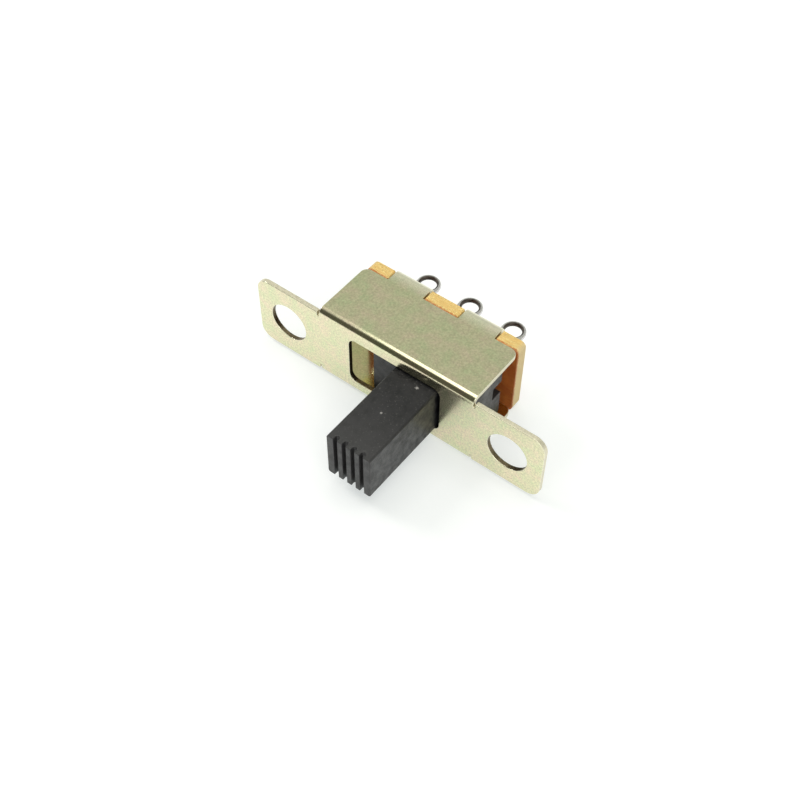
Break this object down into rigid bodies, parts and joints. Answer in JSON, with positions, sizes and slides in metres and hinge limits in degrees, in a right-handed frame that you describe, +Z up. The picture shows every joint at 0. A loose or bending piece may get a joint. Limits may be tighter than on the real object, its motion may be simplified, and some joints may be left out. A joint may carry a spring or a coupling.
{
  "type": "slide switch",
  "caption": "Miniature slide switch: a lever slides in the window of a folded metal frame with mounting ears, joining neighbouring solder terminals on a laminate board.",
  "frame": {"origin": "on the front face of the flange, halfway between the centres of the two mounting holes", "axes": "+X along the flange, the way the lever stands at rest; +Y from the panel face back to the solder terminals, so the lever points to -Y; +Z up, across the flange, with the part lying on its lower wall"},
  "size_m": [0.0194, 0.0138, 0.0052],
  "materials": {
    "plated_steel": "satin bright plating with a warm tint",
    "laminate": "resin-bonded paper laminate, sawn edges paler than its faces",
    "tinned_brass": "bright tin plating",
    "black_plastic": "moulded, satin",
    "spring_bronze": "bright rolled strip"
  },
  "bodies": {
    "housing": {"frame": "plated_steel", "terminal_board": "laminate", "terminal_left": "tinned_brass", "terminal_middle": "tinned_brass", "terminal_right": "tinned_brass"},
    "slider": {"slider": "black_plastic", "contact_clip": "spring_bronze"}
  },
  "joints": [
    {"name": "lever_slide", "type": "slide", "parent": "housing", "child": "slider", "axis": [1, 0, 0], "range_m": [-0.003, 0]}
  ]
}
